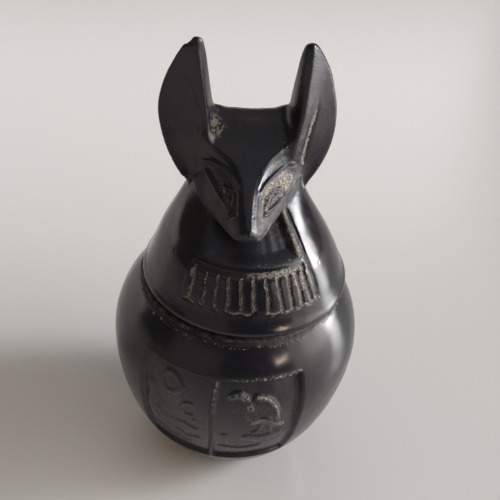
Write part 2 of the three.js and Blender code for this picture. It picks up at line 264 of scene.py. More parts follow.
# the head by the fraction of the way from crown to nose: half widths, and drops below its top line
TOP_HALF = curve([
    (0, 8.0), (0.12, 8.1), (0.24, 8.5), (0.33, 6.7), (0.42, 4.2), (0.5, 2.8), (0.6, 2.0),
    (0.8, 1.4), (1, 1.0),
], soften=0.03)
CHEEK_HALF = curve([
    (0, 7.4), (0.15, 9.2), (0.3, 10.3), (0.45, 10.0), (0.6, 8.3), (0.75, 6.2), (0.9, 3.8), (1, 2.1),
])
CHEEK_DROP = curve([(0, 4.0), (0.3, 7.5), (0.45, 8.0), (0.6, 7.0), (0.75, 5.5), (0.9, 3.6), (1, 2.5)])
JAW_HALF = curve([(0, 6.4), (0.3, 8.0), (0.45, 7.6), (0.6, 6.0), (0.75, 4.2), (0.9, 2.7), (1, 1.7)])
JAW_DROP = curve([(0, 6.4), (0.3, 12.0), (0.45, 12.0), (0.6, 10.5), (0.75, 8.4), (0.9, 5.6), (1, 3.8)])
MUZZLE_SHIFT = curve([(0, 0), (0.45, 0), (0.6, -0.35), (0.8, -0.6), (1, -0.5)])
# the side of the face starts this far below the top line and bulges by this share down to the cheek
TOP_EDGE_DROP = 0.3
CHEEK_BULGE = 0.55
# then it curves in to this share of the jaw, by this power of the drop
JAW_SHARE = 0.7
JAW_POWER = 2.6


def head_frame(y, z):
    """The fraction of the way from crown to nose, and the drop below that line."""
    ry, rz = y - CROWN_Y, z - CROWN_Z
    return (ry * DIR_Y + rz * DIR_Z) / HEAD_LENGTH, rz * DIR_Y - ry * DIR_Z


def face_half(t, d):
    """Half width of the head's side face at a drop d."""
    w, c, dc = TOP_HALF(t), CHEEK_HALF(t), CHEEK_DROP(t)
    s = np.clip((d - TOP_EDGE_DROP) / (dc - TOP_EDGE_DROP), 0, 1)
    return w + (c - w) * (s + CHEEK_BULGE * s * (1 - s))


def head(x, y, z):
    """The jackal's head without its ears, in its own upright frame."""
    t, d = head_frame(y, z)
    w, c, dc = TOP_HALF(t), CHEEK_HALF(t), CHEEK_DROP(t)
    j, dj = JAW_HALF(t), JAW_DROP(t)
    ax = np.abs(x - MUZZLE_SHIFT(t))
    q = np.clip((d - dc) / (dj - dc), 0, 1.3)
    narrowing = c - JAW_SHARE * j
    half = np.where(d < dc, face_half(t, d), c - narrowing * q**JAW_POWER)
    tilt = np.where(d < dc, (c - w) / dc, narrowing / (dj - dc) * JAW_POWER * q ** (JAW_POWER - 1))
    side = (ax - half) / np.sqrt(1 + tilt * tilt)
    crease = below(t, 0.14, 0.1) * (0.35 + 0.22 * np.sin(0.62 * x + 0.9))
    top = -(d - crease - 0.25 * (ax / w) ** 2)
    out = smax(side, top, 0.8)
    out = smax(out, d - dj - 0.3, 1.6)
    out = smax(out, (t - 1.0) * HEAD_LENGTH, 1.8)
    return smax(out, (-0.03 - t) * HEAD_LENGTH, 1.5)


# The ears by height, 1 for the jackal's left and -1 for its right. hollow is a share of the width, and edge
# rounds the front edges.
EAR_SIZES = {
    1: {
        "inner": [
            (64, 5.4), (69, 6.0), (74, 6.4), (80, 7.2), (83, 7.8), (88, 8.25), (92, 8.65), (96, 9.1), (99, 9.9),
        ],
        "outer": [
            (63, 7.8), (66, 10.2), (69, 12.4), (72, 14.6), (75, 16.2), (77.5, 17.1), (80, 17.6), (82, 17.7),
            (85, 17.5), (88, 16.8), (92, 15.6), (95, 14.1), (97.2, 12.8), (99, 11.6),
        ],
        "corner": [(69, 7.4), (77, 7.6), (80, 7.9), (85, 8.4), (92, 9.1), (96, 9.7), (99, 10.4)],
        "crest": [
            (69, 8.4), (74, 8.8), (77, 8.9), (79.3, 9.0), (82, 9.4), (85, 10.0), (90, 10.5), (95, 10.9), (99, 11.0),
        ],
        "outer_y": [(69, 2.2), (76, 4.6), (84, 6.6), (92, 6.6), (99, 4.2)],
        "tip": 98.9, "hollow": 0.05, "edge": 0.8,
    },
    -1: {
        "inner": [(69, 6.0), (74, 6.0), (80, 6.1), (84, 6.7), (88, 7.3), (92, 7.7), (96, 8.15), (99, 8.7)],
        "outer": [
            (63, 6.4), (66, 9.0), (69, 11.5), (72, 14.0), (76, 16.05), (80, 17.25), (84, 17.75), (87, 17.4),
            (91, 16.15), (95, 14.2), (97.2, 12.9), (99.6, 11.2),
        ],
        "corner": [(69, 6.8), (77, 6.8), (80, 6.7), (84, 7.1), (88, 7.7), (92, 8.2), (96, 8.8), (99, 9.3)],
        "crest": [(69, 8.4), (74, 8.6), (77, 8.4), (80, 8.0), (84, 7.9), (88, 8.4), (92, 9.0), (96, 9.7), (99, 10.2)],
        "outer_y": [(69, 1.2), (76, 3.4), (84, 5.2), (92, 5.4), (99, 4.0)],
        "tip": 99.9, "hollow": 0.12, "edge": 1.4,
    },
}
EARS = {
    side: {key: curve(value, soften=1.5) if isinstance(value, list) else value for key, value in sizes.items()}
    for side, sizes in EAR_SIZES.items()
}
EAR_CREST_Y = curve([
    (69, 2.6), (74, 1.9), (77, 1.2), (79.3, 0.8), (82, 1.0), (85, 1.4), (90, 2.0), (95, 2.6), (99, 3.2),
], soften=1.5)
EAR_BACK_Y = curve([(69, 3.0), (76, 5.5), (83, 7.6), (88, 7.0), (94, 5.6), (99, 4.3)], soften=1.5)


def ear(x, y, z, side):
    """One ear, in the head's frame."""
    size = EARS[side]
    ax = side * x
    xi, xo, xe, xc = (size[key](z) for key in ("inner", "outer", "corner", "crest"))
    yb, yc, yo = EAR_BACK_Y(z), EAR_CREST_Y(z), size["outer_y"](z)
    width = np.maximum(xo - xc, 0.8)
    q = np.clip((ax - xc) / width, -0.4, 1.2)
    hollow = size["hollow"] * width * np.clip(4 * q * (1 - q), 0, 1) * (1.15 - 0.35 * q)
    rise = (yo - yc) / width
    front = (lerp(yc, yo, q) + hollow - y) / np.sqrt(1 + rise * rise)
    p = np.clip((xo - ax) / np.maximum(xo - xi, 0.8), 0, 1)
    back_y = lerp(yo, yb, p) + 0.17 * width * (4 * p * (1 - p) + 1e-4) ** 0.7 + 0.35
    back = (y - back_y) * 0.85
    # the inner side has two facets that meet at a corner
    ye = lerp(yc, yb, 0.42)
    run, fall = np.maximum(xc - xe, 0.3), np.maximum(ye - yc, 0.3)
    facet = ((xc - ax) * fall - (y - yc) * run) / np.hypot(run, fall)
    run, fall = np.maximum(xe - xi, 0.02), np.maximum(yb - ye, 0.3)
    inner = ((xe - ax) * fall - (y - ye) * run) / np.hypot(run, fall)
    out = smax(facet, inner, 0.5)
    out = smax(front, out, size["edge"])
    out = smax(out, back, 0.9)
    out = smax(out, ax - xo, 0.7)
    out = smax(out, z - size["tip"], 1.6)
    return smax(out, EAR_FOOT_Z - z, 1.0)


def unlean(x, y, z):
    """From the lid's frame to the head's, which leans and is a little off the middle."""
    x1, z1 = x - HEAD_SHIFT_X, z - HEAD_LEAN_Z
    c, s = math.cos(HEAD_LEAN), math.sin(HEAD_LEAN)
    return x1 * c - z1 * s, y, x1 * s + z1 * c + HEAD_LEAN_Z


# a distance larger than any on the lid, and how far from a path its relief can reach
FAR = 50.0
PATH_REACH = 2.5
# how widely two shapes run together, and how much more so at the back of the head
EAR_BLEND = 2.8
HEAD_BLEND = 0.7
BACK_BLEND = 3.5


def lid_shape(x, y, z):
    """The whole outside of the lid above its rim."""
    out = np.full(x.shape, FAR)
    low = z < WIG_TOP_Z + 2
    out[low] = wig(x[low], y[low], z[low])
    near = (z > 60) & (np.abs(x) < 22) & (y < 16) & (y > -22)
    hx, hy, hz = unlean(x[near], y[near], z[near])
    part = head(hx, hy, hz)
    for side in (1, -1):
        mine = (side * hx > 2) & (hz > EAR_FOOT_Z - 3)
        one = np.full(hx.shape, FAR)
        one[mine] = ear(hx[mine], hy[mine], hz[mine], side)
        part = smin(part, one, EAR_BLEND)
    blend = HEAD_BLEND + BACK_BLEND * above(y[near], 4.5, 4) * below(z[near], 80.0, 4)
    out[near] = smin(out[near], part, blend)
    return out


def steps(*spans):
    """Grid positions over joined spans: (start, end, spacing)."""
    out = []
    for start, end, spacing in spans:
        count = round((end - start) / spacing)
        out.extend(start + (end - start) * i / count for i in range(count))
    return np.array(out + [spans[-1][1]])


def surface_net(shape, xs, ys, zs):
    """Vertices and quads of the surface where shape is zero, on an uneven grid."""
    field = np.empty((len(xs), len(ys), len(zs)), np.float32)
    for k in range(0, len(zs), 12):
        gx, gy, gz = np.meshgrid(xs, ys, zs[k:k + 12], indexing="ij")
        field[:, :, k:k + 12] = shape(gx.ravel(), gy.ravel(), gz.ravel()).reshape(gx.shape)
    inside = field < 0
    nx, ny, nz = (n - 1 for n in field.shape)
    count = sum(inside[i:i + nx, j:j + ny, k:k + nz].astype(np.int8) for i, j, k in CORNERS)
    cells = np.argwhere((count > 0) & (count < 8))
    index = np.full((nx, ny, nz), -1, np.int64)
    index[tuple(cells.T)] = np.arange(len(cells))
    place = np.zeros((len(cells), 3))
    hits = np.zeros(len(cells))

    def at(corner):
        i, j, k = (cells + corner).T
        return field[i, j, k], np.stack([xs[i], ys[j], zs[k]], 1)

    for a in CORNERS:
        for axis in (n for n in range(3) if not a[n]):
            fa, pa = at(a)
            fb, pb = at([1 if n == axis else a[n] for n in range(3)])
            cross = (fa < 0) != (fb < 0)
            t = np.where(cross, fa / np.where(cross, fa - fb, 1), 0)
            place += np.where(cross[:, None], pa + (pb - pa) * t[:, None], 0)
            hits += cross
    place /= hits[:, None]
    quads = []
    for axis in range(3):
        u, v = (axis + 1) % 3, (axis + 2) % 3
        head_in = np.take(inside, range(0, field.shape[axis] - 1), axis)
        tail_in = np.take(inside, range(1, field.shape[axis]), axis)
        for flip, edges in ((False, head_in & ~tail_in), (True, tail_in & ~head_in)):
            e = np.argwhere(edges)
            e = e[np.all((e[:, [u, v]] > 0) & (e[:, [u, v]] < np.array(field.shape)[[u, v]] - 1), 1)]
            ring = []
            for du, dv in ((-1, -1), (0, -1), (0, 0), (-1, 0)):
                move = np.zeros(3, int)
                move[[u, v]] = du, dv
                ring.append(index[tuple((e + move).T)])
            ring = np.stack(ring, 1)
            quads.append(ring[:, ::-1] if flip else ring)
    return place, np.concatenate(quads)


def gradient(shape, p, h=0.04):
    """The direction in which shape grows, at points p, with its length."""
    g = np.empty_like(p)
    for axis in range(3):
        a, b = p.copy(), p.copy()
        a[:, axis] += h
        b[:, axis] -= h
        g[:, axis] = (shape(*a.T) - shape(*b.T)) / (2 * h)
    return g


def snap(shape, p, reach):
    """Points moved along the gradient on to the surface, by no more than reach."""
    g = gradient(shape, p)
    square = np.maximum((g * g).sum(1), 0.05)
    step = (shape(*p.T) / square)[:, None] * g
    size = norm(step, axis=1, keepdims=True)
    return p - step * np.minimum(1, reach / np.maximum(size, 1e-9))


def spread(p, quads, fixed):
    """Points moved halfway to the middle of their neighbours."""
    total = np.zeros_like(p)
    near = np.zeros(len(p))
    for a, b in ((0, 1), (1, 2), (2, 3), (3, 0)):
        for i, j in ((a, b), (b, a)):
            np.add.at(total, quads[:, i], p[quads[:, j]])
            np.add.at(near, quads[:, i], 1)
    middle = total / np.maximum(near, 1)[:, None]
    return np.where(fixed[:, None], p, lerp(p, middle, 0.5))


# ---- finer relief: masks and lines ----

class Skin:
    """What is added to each point of a piece: height, dust and painted sheen, and roughness."""

    def __init__(self, count):
        self.lift, self.dust_and_sheen, self.rough = np.zeros((3, count))

    def mark(self, mask, lift=0.0, dust_and_sheen=0.0, rough=0.0):
        """Adds lift, and brings the dust and painted sheen, and rough, up to these, where the mask says."""
        self.lift = self.lift + mask * lift
        self.dust_and_sheen = np.maximum(self.dust_and_sheen, mask * dust_and_sheen)
        self.rough = np.maximum(self.rough, mask * rough)

    def polish(self, rough, dust_and_sheen):
        """Takes these shares of the roughness and of the dust and painted sheen away."""
        self.rough = self.rough * (1 - rough)
        self.dust_and_sheen = self.dust_and_sheen * (1 - dust_and_sheen)


def path(points, pieces=28):
    """A smooth path through points, in short straight pieces."""
    points = np.asarray(points, float)
    k = np.linspace(0, 1, len(points))
    even = np.linspace(0, 1, pieces + 1)
    return np.stack([curve(list(zip(k, points[:, n])))(even) for n in range(3)], 1)


def from_path(p, line):
    """Each point's distance from the path, and how far along it is, from 0 to 1."""
    best = np.full(len(p), FAR)
    along = np.zeros(len(p))
    near = np.flatnonzero(np.all((p > line.min(0) - PATH_REACH) & (p < line.max(0) + PATH_REACH), 1))
    q = p[near]
    found, place = best[near], along[near]
    for i in range(len(line) - 1):
        a, b = line[i], line[i + 1]
        ab = b - a
        t = np.clip((q - a) @ ab / (ab @ ab), 0, 1)
        d = norm(q - a - t[:, None] * ab, axis=1)
        closer = d < found
        found = np.where(closer, d, found)
        place = np.where(closer, (i + t) / (len(line) - 1), place)
    best[near], along[near] = found, place
    return best, along


def tapered(along, start, end):
    """Fades a line in and out at its ends."""
    return smooth(along / start) * smooth((1 - along) / end)


def stroke(p, line, half, start=0.12, end=0.12, middle=0.0):
    """A mask along a path, around the distance middle from it, that fades at its ends."""
    away, place = from_path(p, line)
    return around(away, middle, half) * tapered(place, start, end)


def oval(p, centre, half_axes, reach):
    """A mask for an oval patch: 0 from reach half axes on."""
    return smooth(reach - norm((p - centre) / half_axes, axis=1))


# ---- lid: finer relief ----

# The face, 1 for the jackal's left and -1 for its right: points by (fraction along the head, distance from its
# middle), heights and depths in millimetres.
FACE = {
    1: {
        "brow": [(0.29, 10.4), (0.37, 8.3), (0.45, 6.1), (0.54, 4.2), (0.61, 3.05), (0.67, 2.35)],
        "lower": [(0.36, 10.4), (0.44, 9.6), (0.51, 8.8), (0.58, 7.8), (0.69, 5.75), (0.8, 3.6)],
        "tail": [(0.42, 8.9), (0.48, 8.1), (0.54, 7.2)],
        "eye": [
            (0.555, 6.95), (0.585, 5.6), (0.645, 4.4), (0.705, 3.85), (0.78, 3.45), (0.745, 4.5), (0.68, 5.75),
            (0.61, 6.75), (0.555, 6.95),
        ],
        "ball": (0.65, 5.15),
        "pupil": (0.632, 5.45),
        "tear": (0.79, 3.3),
        "brow_height": 0.24, "lower_height": 0.10, "eye_line_height": 0.34, "ball_half_width": 0.8,
        # the last share scales the pale in the brow band and socket: full on this lit side, partly dust and partly a
        # painted sheen
        "socket_depth": 0.24, "socket_rough": 0.7, "socket_grit": 0.09, "dust_and_sheen_share": 1.0,
    },
    -1: {
        "brow": [(0.32, 9.2), (0.39, 6.9), (0.45, 5.2), (0.53, 3.45), (0.61, 2.25), (0.67, 1.6)],
        "lower": [(0.39, 8.7), (0.47, 7.7), (0.55, 6.65), (0.67, 5.0), (0.785, 3.5)],
        "tail": [(0.43, 7.9), (0.5, 6.8), (0.57, 5.7)],
        "eye": [
            (0.57, 5.5), (0.585, 4.5), (0.62, 3.5), (0.675, 2.9), (0.73, 2.95), (0.79, 3.35), (0.74, 3.9),
            (0.67, 4.65), (0.61, 5.3), (0.57, 5.5),
        ],
        "ball": (0.665, 3.9),
        "pupil": (0.65, 4.1),
        "tear": (0.79, 3.3),
        "brow_height": 0.32, "lower_height": 0.28, "eye_line_height": 0.26, "ball_half_width": 0.7,
        # about a third of that pale on this shaded side, so the painted sheen is mostly left out
        "socket_depth": 0.42, "socket_rough": 0.4, "socket_grit": 0.025, "dust_and_sheen_share": 0.32,
    },
}
BROW_AT = {side: curve(lines["brow"]) for side, lines in FACE.items()}
LOWER_AT = {side: curve(lines["lower"]) for side, lines in FACE.items()}
# the mouth: (fraction along the head, drop below its top line)
MOUTH = [(0.80, 3.6), (0.88, 3.3), (0.95, 2.6), (0.99, 1.7)]
MOUTH_DEPTH = 0.16
NOSTRIL_DEPTH = 0.22
# angle round the neck and depth of each soft fold
NECK_FOLDS = [(14.5, 0.07), (25.0, 0.09)]
# lines on the ears and the crown, in the head's own frame
LEFT_EAR_GROOVE = [
    (13.8, 4.3, 88.0), (12.9, 3.6, 84.8), (12.2, 3.2, 82.0), (11.7, 2.7, 79.6), (11.3, 2.6, 77.0), (11.0, 2.5, 73.5),
]
LEFT_EAR_GROOVE_DEPTH = 0.34
BESIDE_GROOVE = [-0.85, -0.4, 0]
RIGHT_EAR_RIDGE = [(-12.5, 3.8, 92.1), (-11.2, 2.6, 88.7), (-10.1, 1.6, 85.2), (-9.4, 1.2, 82.3), (-8.9, 1.0, 78.0)]
CROWN_SCRATCH = [(-2.9, 4.5, 81.5), (-1.2, 4.9, 81.7), (0.5, 5.2, 81.8), (2.9, 5.5, 81.9)]
CROWN_NICK = [(5.4, 1.9, 80.0), (6.2, 1.6, 79.8), (7.1, 1.3, 79.5)]
# oval patches: centre and half axes
RIGHT_EAR_ROOT = [-5.7, 3.0, 83.4], [1.9, 3.2, 3.4]
RIGHT_EAR_CHIP = [-11.6, 3.8, 98.6], [1.1, 2.5, 0.9]
CHIP_DEPTH = 0.45


def leaned(p):
    """From the head's frame to the lid's."""
    x, y, z = p[:, 0], p[:, 1], p[:, 2] - HEAD_LEAN_Z
    c, s = math.cos(HEAD_LEAN), math.sin(HEAD_LEAN)
    return np.stack([x * c + z * s + HEAD_SHIFT_X, y, z * c - x * s + HEAD_LEAN_Z], 1)


def head_points(t, d, x):
    """Points from the fraction along the head, the drop and the place across it."""
    y = CROWN_Y + t * HEAD_LENGTH * DIR_Y - d * DIR_Z
    z = CROWN_Z + t * HEAD_LENGTH * DIR_Z + d * DIR_Y
    return np.stack([x + MUZZLE_SHIFT(t), y, z], 1)


def face_points(knots, side):
    """Points on the side of the face from (fraction along the head, distance from its middle)."""
    t, x = np.array(knots, float).T
    w, c, dc = TOP_HALF(t), CHEEK_HALF(t), CHEEK_DROP(t)
    # face_half turned round: the drop at which the face is this wide
    e = np.clip((x - w) / (c - w), 0, 1)
    full = 1 + CHEEK_BULGE
    s = (full - np.sqrt(full**2 - 4 * CHEEK_BULGE * e)) / (2 * CHEEK_BULGE)
    return head_points(t, TOP_EDGE_DROP + s * (dc - TOP_EDGE_DROP), side * x)


def mouth_points(side):
    """The line of the mouth along one side of the muzzle."""
    t, d = np.array(MOUTH, float).T
    return head_points(t, d, side * face_half(t, d))


def ear_points(points):
    """A path in the head's frame, moved on to the surface."""
    on = leaned(path(points))
    for _ in range(3):
        on = snap(lid_shape, on, 1.5)
    return np.stack(unlean(*on.T), 1)


class LidPoints:
    """Points p of the lid with outward directions n, and what places the relief on them."""

    def __init__(self, p, n):
        self.p, self.n = p, n
        self.y, self.z = p[:, 1], p[:, 2]
        self.angle = np.degrees(np.arctan2(p[:, 0] - CENTRE_X(self.z), -(self.y - CENTRE_Y(self.z))))
        self.grit = rough_noise(p, 0.55, 3)
        self.fine = noise(p, 0.34, 77)
        self.patch = noise(p, 3.2, 9)
        self.front = (np.abs(self.angle) < COLLAR_HALF_ANGLE + 3) & (self.z < 66) & (self.z > COLLAR_LOW_Z - 2)
        self.front &= self.y < 0
        self.hx, hy, self.hz = unlean(*p.T)
        self.in_head = np.stack([self.hx, hy, self.hz], 1)
        self.t, self.d = head_frame(hy, self.hz)
        self.ax = np.abs(self.hx - MUZZLE_SHIFT(self.t))
        self.on_head = (self.t > 0.25) & (self.t < 1.08) & (self.d > -0.6) & (self.d < 12.5) & (self.ax < 10.6)
        self.on_head &= self.ax < CHEEK_HALF(np.clip(self.t, 0, 1)) + 0.6


def collar_detail(skin, at):
    """Ragged grooves, the matt step above, the broken line below, and worn bars."""
    angle, z, grit, patch, front = at.angle, at.z, at.grit, at.patch, at.front
    inside = front * below(np.abs(angle), COLLAR_HALF_ANGLE, 1.5)
    groove = front * groove_pattern(angle, z) * (np.abs(angle) < COLLAR_HALF_ANGLE)
    skin.mark(groove, lift=-0.10 * grit)
    skin.mark(above(groove + 0.2 * grit, 0.58, 0.36), dust_and_sheen=0.9 + 0.3 * patch)
    left = above(angle, -12, 22)
    step = inside * between(z, COLLAR_HIGH_Z + 0.1, COLLAR_STEP_Z + 0.5, 0.4)
    skin.mark(step, -0.08 * grit, smooth(0.35 + 0.6 * grit + 0.3 * left) * (0.25 + 0.55 * left), 0.8)
    foot = inside * around(z, COLLAR_LOW_Z + 0.1 + 0.15 * np.sin(angle * 0.8), 0.35)
    broken = above(noise(at.p, 1.3, 21) + 0.35 * (angle > 14) + 0.5 * (angle < -33), -0.15, 0.35)
    skin.mark(foot * broken, lift=-0.22, dust_and_sheen=0.7)
    worn = front * above(angle, 8, 12) * below(angle, 40.5, 1.5)
    worn = worn * above(z, COLLAR_LOW_Z, 0.5) * below(z, COLLAR_HIGH_Z + 1, 0.6)
    skin.mark(worn, dust_and_sheen=0.55 * above(grit + 0.9 * patch, 0.25, 0.5), rough=0.35)
    right_end = around(np.hypot((angle + 37.5) * 0.33, (z - 59.6) * 0.55), 0, 1.25)
    skin.mark(right_end, dust_and_sheen=0.8 * smooth(0.5 + grit))


def chest_detail(skin, at):
    """The neck between the lappets: matt, softly folded, dusty at its edges."""
    angle, z, grit = at.angle, at.z, at.grit
    chest = (z > CHEST_LOW_Z - 0.3) & (z < 70) & (at.y < 2)
    skin.mark(chest * smooth(1.3 - np.abs(angle - 39.2) / 3.2), -0.14 * grit, 0.42 + 0.25 * grit, 0.9)
    skin.mark(chest * below(np.abs(angle), CHEST_HALF_ANGLE + 4, 6), rough=0.45)
    # the neck's lit right part: patchy pale, partly dust and partly a painted sheen of the window's reflection
    neck = chest * above(angle, -4, 12) * below(angle, 43, 5)
    skin.mark(neck, dust_and_sheen=0.22 * above(at.patch, 0.1, 0.5), rough=0.55)
    for fold_angle, depth in NECK_FOLDS:
        fold = chest * around(angle, fold_angle + 0.9 * np.sin(z * 0.8), 5.0)
        skin.mark(fold * above(z, 62.7, 0.8) * below(z, 68.5, 2), lift=-depth)
    lip = at.front * around(z, CHEST_LOW_Z - 0.05, 0.32) * below(np.abs(angle - 5), 36, 8)
    skin.mark(lip, dust_and_sheen=above(grit, -0.2, 0.5) * (0.05 + 0.4 * above(angle, -5, 20)))
    seam = around(angle, LAPPET_ANGLE, 1.6) * ((z > 54) & (z < 70) & (at.y < 4))
    skin.mark(seam, lift=0.10 * grit, rough=0.9)


def face_detail(skin, at):
    """The band under the brow's edge, the eye sockets, satin cheeks and the muzzle's glint."""
    t, d, ax, hx, grit, fine = at.t, at.d, at.ax, at.hx, at.grit, at.fine

    def by_side(key):
        return np.where(hx > 0, FACE[1][key], FACE[-1][key])

    # pale in the brow band and sockets, fuller on the lit side: partly dust, partly a painted sheen
    dusty = by_side("dust_and_sheen_share")
    brow_x = np.where(hx > 0, BROW_AT[1](t), BROW_AT[-1](t))
    lower_x = np.where(hx > 0, LOWER_AT[1](t), LOWER_AT[-1](t))
    edge_x = TOP_HALF(t) + 0.45
    above_cheek = at.on_head & (t > 0.33) & (d < CHEEK_DROP(t) + 0.4)
    above_jaw = at.on_head * smooth(JAW_DROP(t) + 1.2 - d)
    band = between(ax, edge_x, brow_x - 0.25, 0.35) * (above_cheek & (t < 0.69)) * above(t, 0.33, 0.03)
    skin.mark(band, 0.02 * grit - 0.20, 0.4 * above(grit, 0.1, 0.5) * dusty, 0.15 * dusty)
    socket = between(ax, brow_x + 0.2, lower_x - 0.15, 0.45) * (above_cheek & (t < 0.83))
    socket = socket * above(t, 0.38, 0.08) * below(t, 0.84, 0.04)
    ragged = by_side("socket_grit") * (0.6 * grit + fine)
    skin.mark(socket, ragged - by_side("socket_depth"), (0.58 + 0.22 * grit + 0.30 * fine) * dusty,
              by_side("socket_rough"))
    start = edge_x + lerp(0.5, -0.4, above(t, 0.62, 0.08))
    satin = above(ax, start, 0.6) * ((t > 0.3) & (d > -0.3) & (hx > -0.6)) * above_jaw
    skin.mark(satin, dust_and_sheen=0.22 + 0.07 * grit + 0.06 * at.patch, rough=0.62)
    skin.mark(above(at.hz, 66, 4) * ((at.y < 9) & (ax < 19)), rough=0.22)
    right_cheek = above(ax, lower_x - 0.2, 0.6) * ((t > 0.4) & (d > -0.1) & (hx < -0.6)) * above_jaw
    skin.mark(right_cheek, dust_and_sheen=0.10 + 0.05 * grit, rough=0.7)
    glint = below(ax, edge_x + 0.8, 0.75) * (at.on_head & (hx > 0) & (t > 0.3)) * below(t, 0.72, 0.08)
    skin.polish(glint, glint)


def eye_detail(skin, at, side):
    """The raised lines, eye, mouth and nostril on one side of the face."""
    p, face = at.p, FACE[side]

    def on_face(*knots):
        return snap(lid_shape, leaned(face_points(knots, side)), 1.5)

    def from_point(point):
        return norm(p - point, axis=1)

    brow, lower, tail = (path(on_face(*face[key])) for key in ("brow", "lower", "tail"))
    skin.mark(stroke(p, brow, 0.42, 0.1, 0.2), lift=face["brow_height"])
    skin.mark(stroke(p, brow, 0.25, 0.1, 0.2, middle=0.55), lift=-0.12)
    skin.mark(stroke(p, lower, 0.34, 0.15, 0.08), lift=face["lower_height"])
    skin.mark(stroke(p, tail, 0.26, 0.3, 0.1), lift=0.16)

    ring, _ = from_path(p, path(on_face(*face["eye"]), 44))
    ball, pupil, tear, outer = on_face(face["ball"], face["pupil"], face["tear"], face["eye"][0])
    eye_length = norm(tear - outer)
    eye_axis = (tear - outer) / eye_length
    length = (p - ball) @ eye_axis
    across = norm(p - ball - length[:, None] * eye_axis, axis=1)
    eyeball = smooth(1.45 - np.hypot(length / (eye_length * 0.4), across / face["ball_half_width"]))
    skin.mark(eyeball, lift=0.20)
    skin.mark(around(ring, 0, 0.32), lift=face["eye_line_height"])
    iris, corner = from_point(pupil), from_point(tear)
    skin.mark(around(iris, 0, 0.42), lift=-0.30)
    skin.mark(around(iris, 0.6, 0.22), lift=0.12)
    plain = np.maximum(eyeball, around(ring, 0, 0.4))
    skin.polish(0.45 * plain, 0.6 * plain)
    skin.mark(around(corner, 0, 0.5), lift=-0.28)
    if side > 0:
        skin.mark(around(ring, 0.62, 0.3), lift=-0.22)
        # a pale patch round the lit eye's pupil: partly dust in its pit, partly a painted glint
        skin.mark(around(iris, 0, 1.0), dust_and_sheen=0.8 * above(at.fine, -0.35, 0.5))
        skin.mark(around(corner, 0, 0.7), dust_and_sheen=0.4)

    mouth = path(snap(lid_shape, leaned(mouth_points(side)), 2.0))
    skin.mark(stroke(p, mouth, 0.3, 0.25, 0.02), lift=-MOUTH_DEPTH)
    nostril = snap(lid_shape, leaned(np.array([[side * 0.75 - 0.45, -16.5, 69.5]])), 2.0)[0]
    skin.mark(around(from_point(nostril), 0, 0.38), lift=-NOSTRIL_DEPTH)


def ear_detail(skin, at):
    """The left ear's groove, the right ear's ridge, root and chip, and the crown's scratches."""
    grit, fine, p, sideways = at.grit, at.fine, at.in_head, at.n[:, 0]
    facing = smooth(-at.n[:, 1] * 2)
    line = ear_points(LEFT_EAR_GROOVE)
    groove, place = from_path(p, line)
    carved = around(groove, 0, 1.0) * tapered(place, 0.35, 0.1) * facing
    skin.mark(carved, lift=0.08 * grit - LEFT_EAR_GROOVE_DEPTH, rough=1.0)
    dusty = above(1.3 * around(groove, 0, 0.8) + 0.6 * grit, 0.6, 0.4)
    skin.mark(dusty * tapered(place, 0.3, 0.03) * facing, dust_and_sheen=0.6)
    skin.mark(stroke(p, line + BESIDE_GROOVE, 0.32, 0.15, 0.15) * facing, lift=0.15)
    skin.mark(stroke(p, ear_points(RIGHT_EAR_RIDGE), 0.7, 0.4, 0.2) * facing, lift=0.26)
    scratch = ear_points(CROWN_SCRATCH)
    skin.mark(stroke(p, scratch, 0.3), lift=-0.08)
    skin.mark(stroke(p, scratch, 0.3, 0.3, 0.3), dust_and_sheen=0.5 * smooth(0.5 + grit))
    nick = ear_points(CROWN_NICK)
    skin.mark(stroke(p, nick, 0.25), lift=-0.10)
    skin.mark(around(from_path(p, nick)[0], 0, 0.25), dust_and_sheen=0.5)
    root = oval(p, *RIGHT_EAR_ROOT, 1.5)
    skin.mark(root, 0.05 * fine, 0.62 * above(0.5 * grit + 0.9 * fine + 0.5 * root, -0.12, 0.6), 1.0)
    # the right ear's inner rim where it turns toward the +X light: pale marks, a painted highlight broken by the grit
    edge = around(sideways, 0, 0.6) * ((sideways > 0.2) & (at.hz > 84) & (at.hx < 0) & (at.hx > -10.2))
    skin.mark(edge, dust_and_sheen=0.35 * above(grit, 0.1, 0.4))
    skin.mark(oval(p, *RIGHT_EAR_CHIP, 1.4), lift=-CHIP_DEPTH, rough=0.6)


def lid_detail(p, n):
    """The finer relief of the lid's outside."""
    skin, at = Skin(len(p)), LidPoints(p, n)
    collar_detail(skin, at)
    chest_detail(skin, at)
    face_detail(skin, at)
    for side in FACE:
        eye_detail(skin, at, side)
    cheek = around(at.d, CHEEK_DROP(at.t) + 0.3, 0.9) * (at.on_head & (at.t > 0.45) & (at.t < 0.95))
    skin.mark(above(at.grit, 0.15, 0.3) * cheek, -0.09, np.where(at.hx < 0, 0.3, 0.21), 0.8)
    ear_detail(skin, at)
    # the whole surface: a hand-made unevenness, a few small pits and a rougher rim
    skin.lift += 0.055 * noise(p, 5.5, 40) + 0.018 * noise(p, 1.9, 41)
    skin.mark(above(noise(p, 0.75, 42), 0.72, 0.15), lift=-0.05)
    skin.mark(below(at.z, 53.0, 2) * smooth(at.patch), rough=0.25)
    return skin


# ---- lid: mesh ----

# the carved surface ends in a ring here, with plain rows below it
JOIN_Z = 51.2
NET_X = ((-23, -10.5, 0.37), (-10.5, 10.5, 0.225), (10.5, 23, 0.37))
NET_Y = ((-23, -18, 0.42), (-18, -1, 0.225), (-1, 8, 0.33), (8, 23, 0.56))
NET_Z = ((JOIN_Z, 53.6, 0.4), (53.6, 62.8, 0.28), (62.8, 66, 0.32), (66, 83.5, 0.23), (83.5, 101.2, 0.38))
SMOOTHING_ROUNDS = 3
PLUG_END_Z = LID_Z - PLUG_DEPTH
